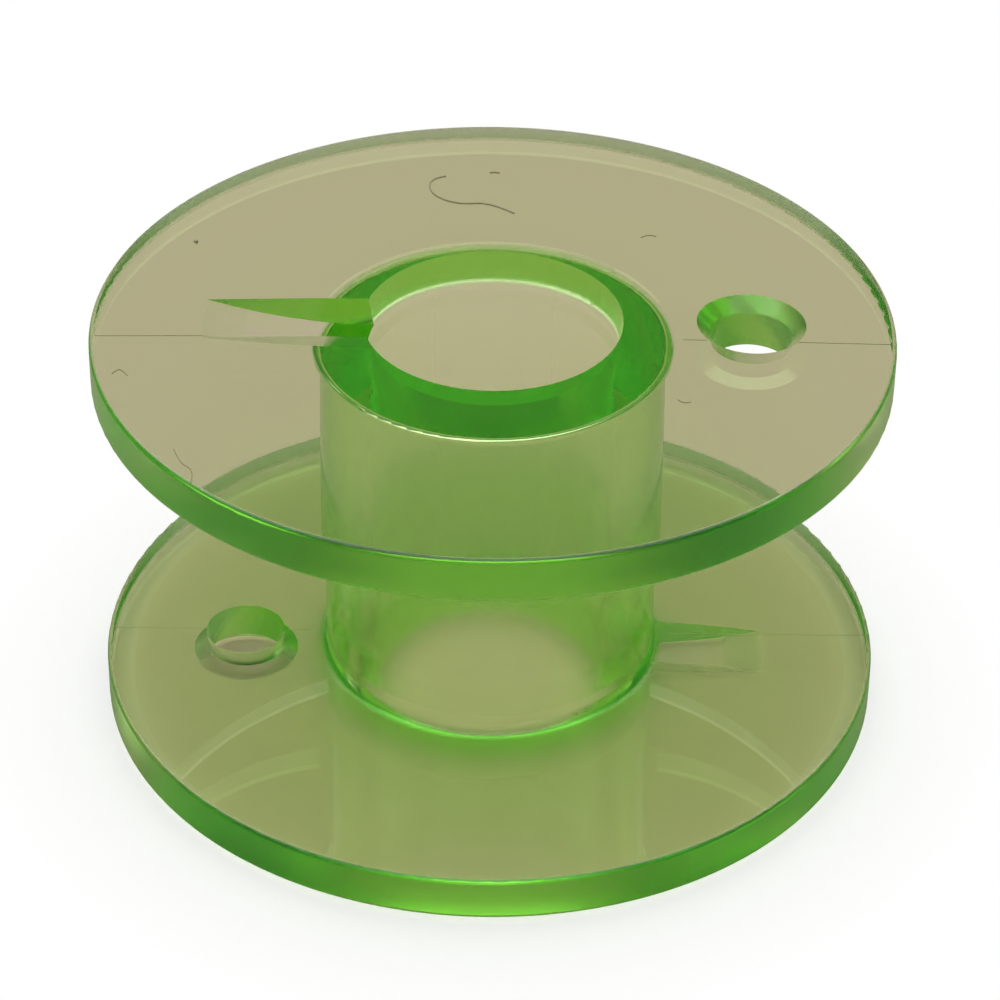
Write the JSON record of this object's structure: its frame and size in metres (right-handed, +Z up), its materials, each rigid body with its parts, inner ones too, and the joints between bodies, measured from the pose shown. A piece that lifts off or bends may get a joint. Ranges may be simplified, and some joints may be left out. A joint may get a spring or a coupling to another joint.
{
  "type": "sewing machine bobbin",
  "caption": "Clear green moulded bobbin: tubular hub between round flanges, straight bore, ramped drive slots and flared thread holes.",
  "frame": {"origin": "middle of the lower end land, the flat ring round the bore mouth that the bobbin stands on", "axes": "+Z up along the bore; +X through the upper thread hole, with the upper drive slot on -X; -Y faces the viewer of the picture"},
  "size_m": [0.0204, 0.0204, 0.0113],
  "materials": {
    "clear_green_plastic": "clear dyed plastic, polished mould, no coating"
  },
  "bodies": {
    "root": {"bobbin": "clear_green_plastic"}
  },
  "joints": []
}
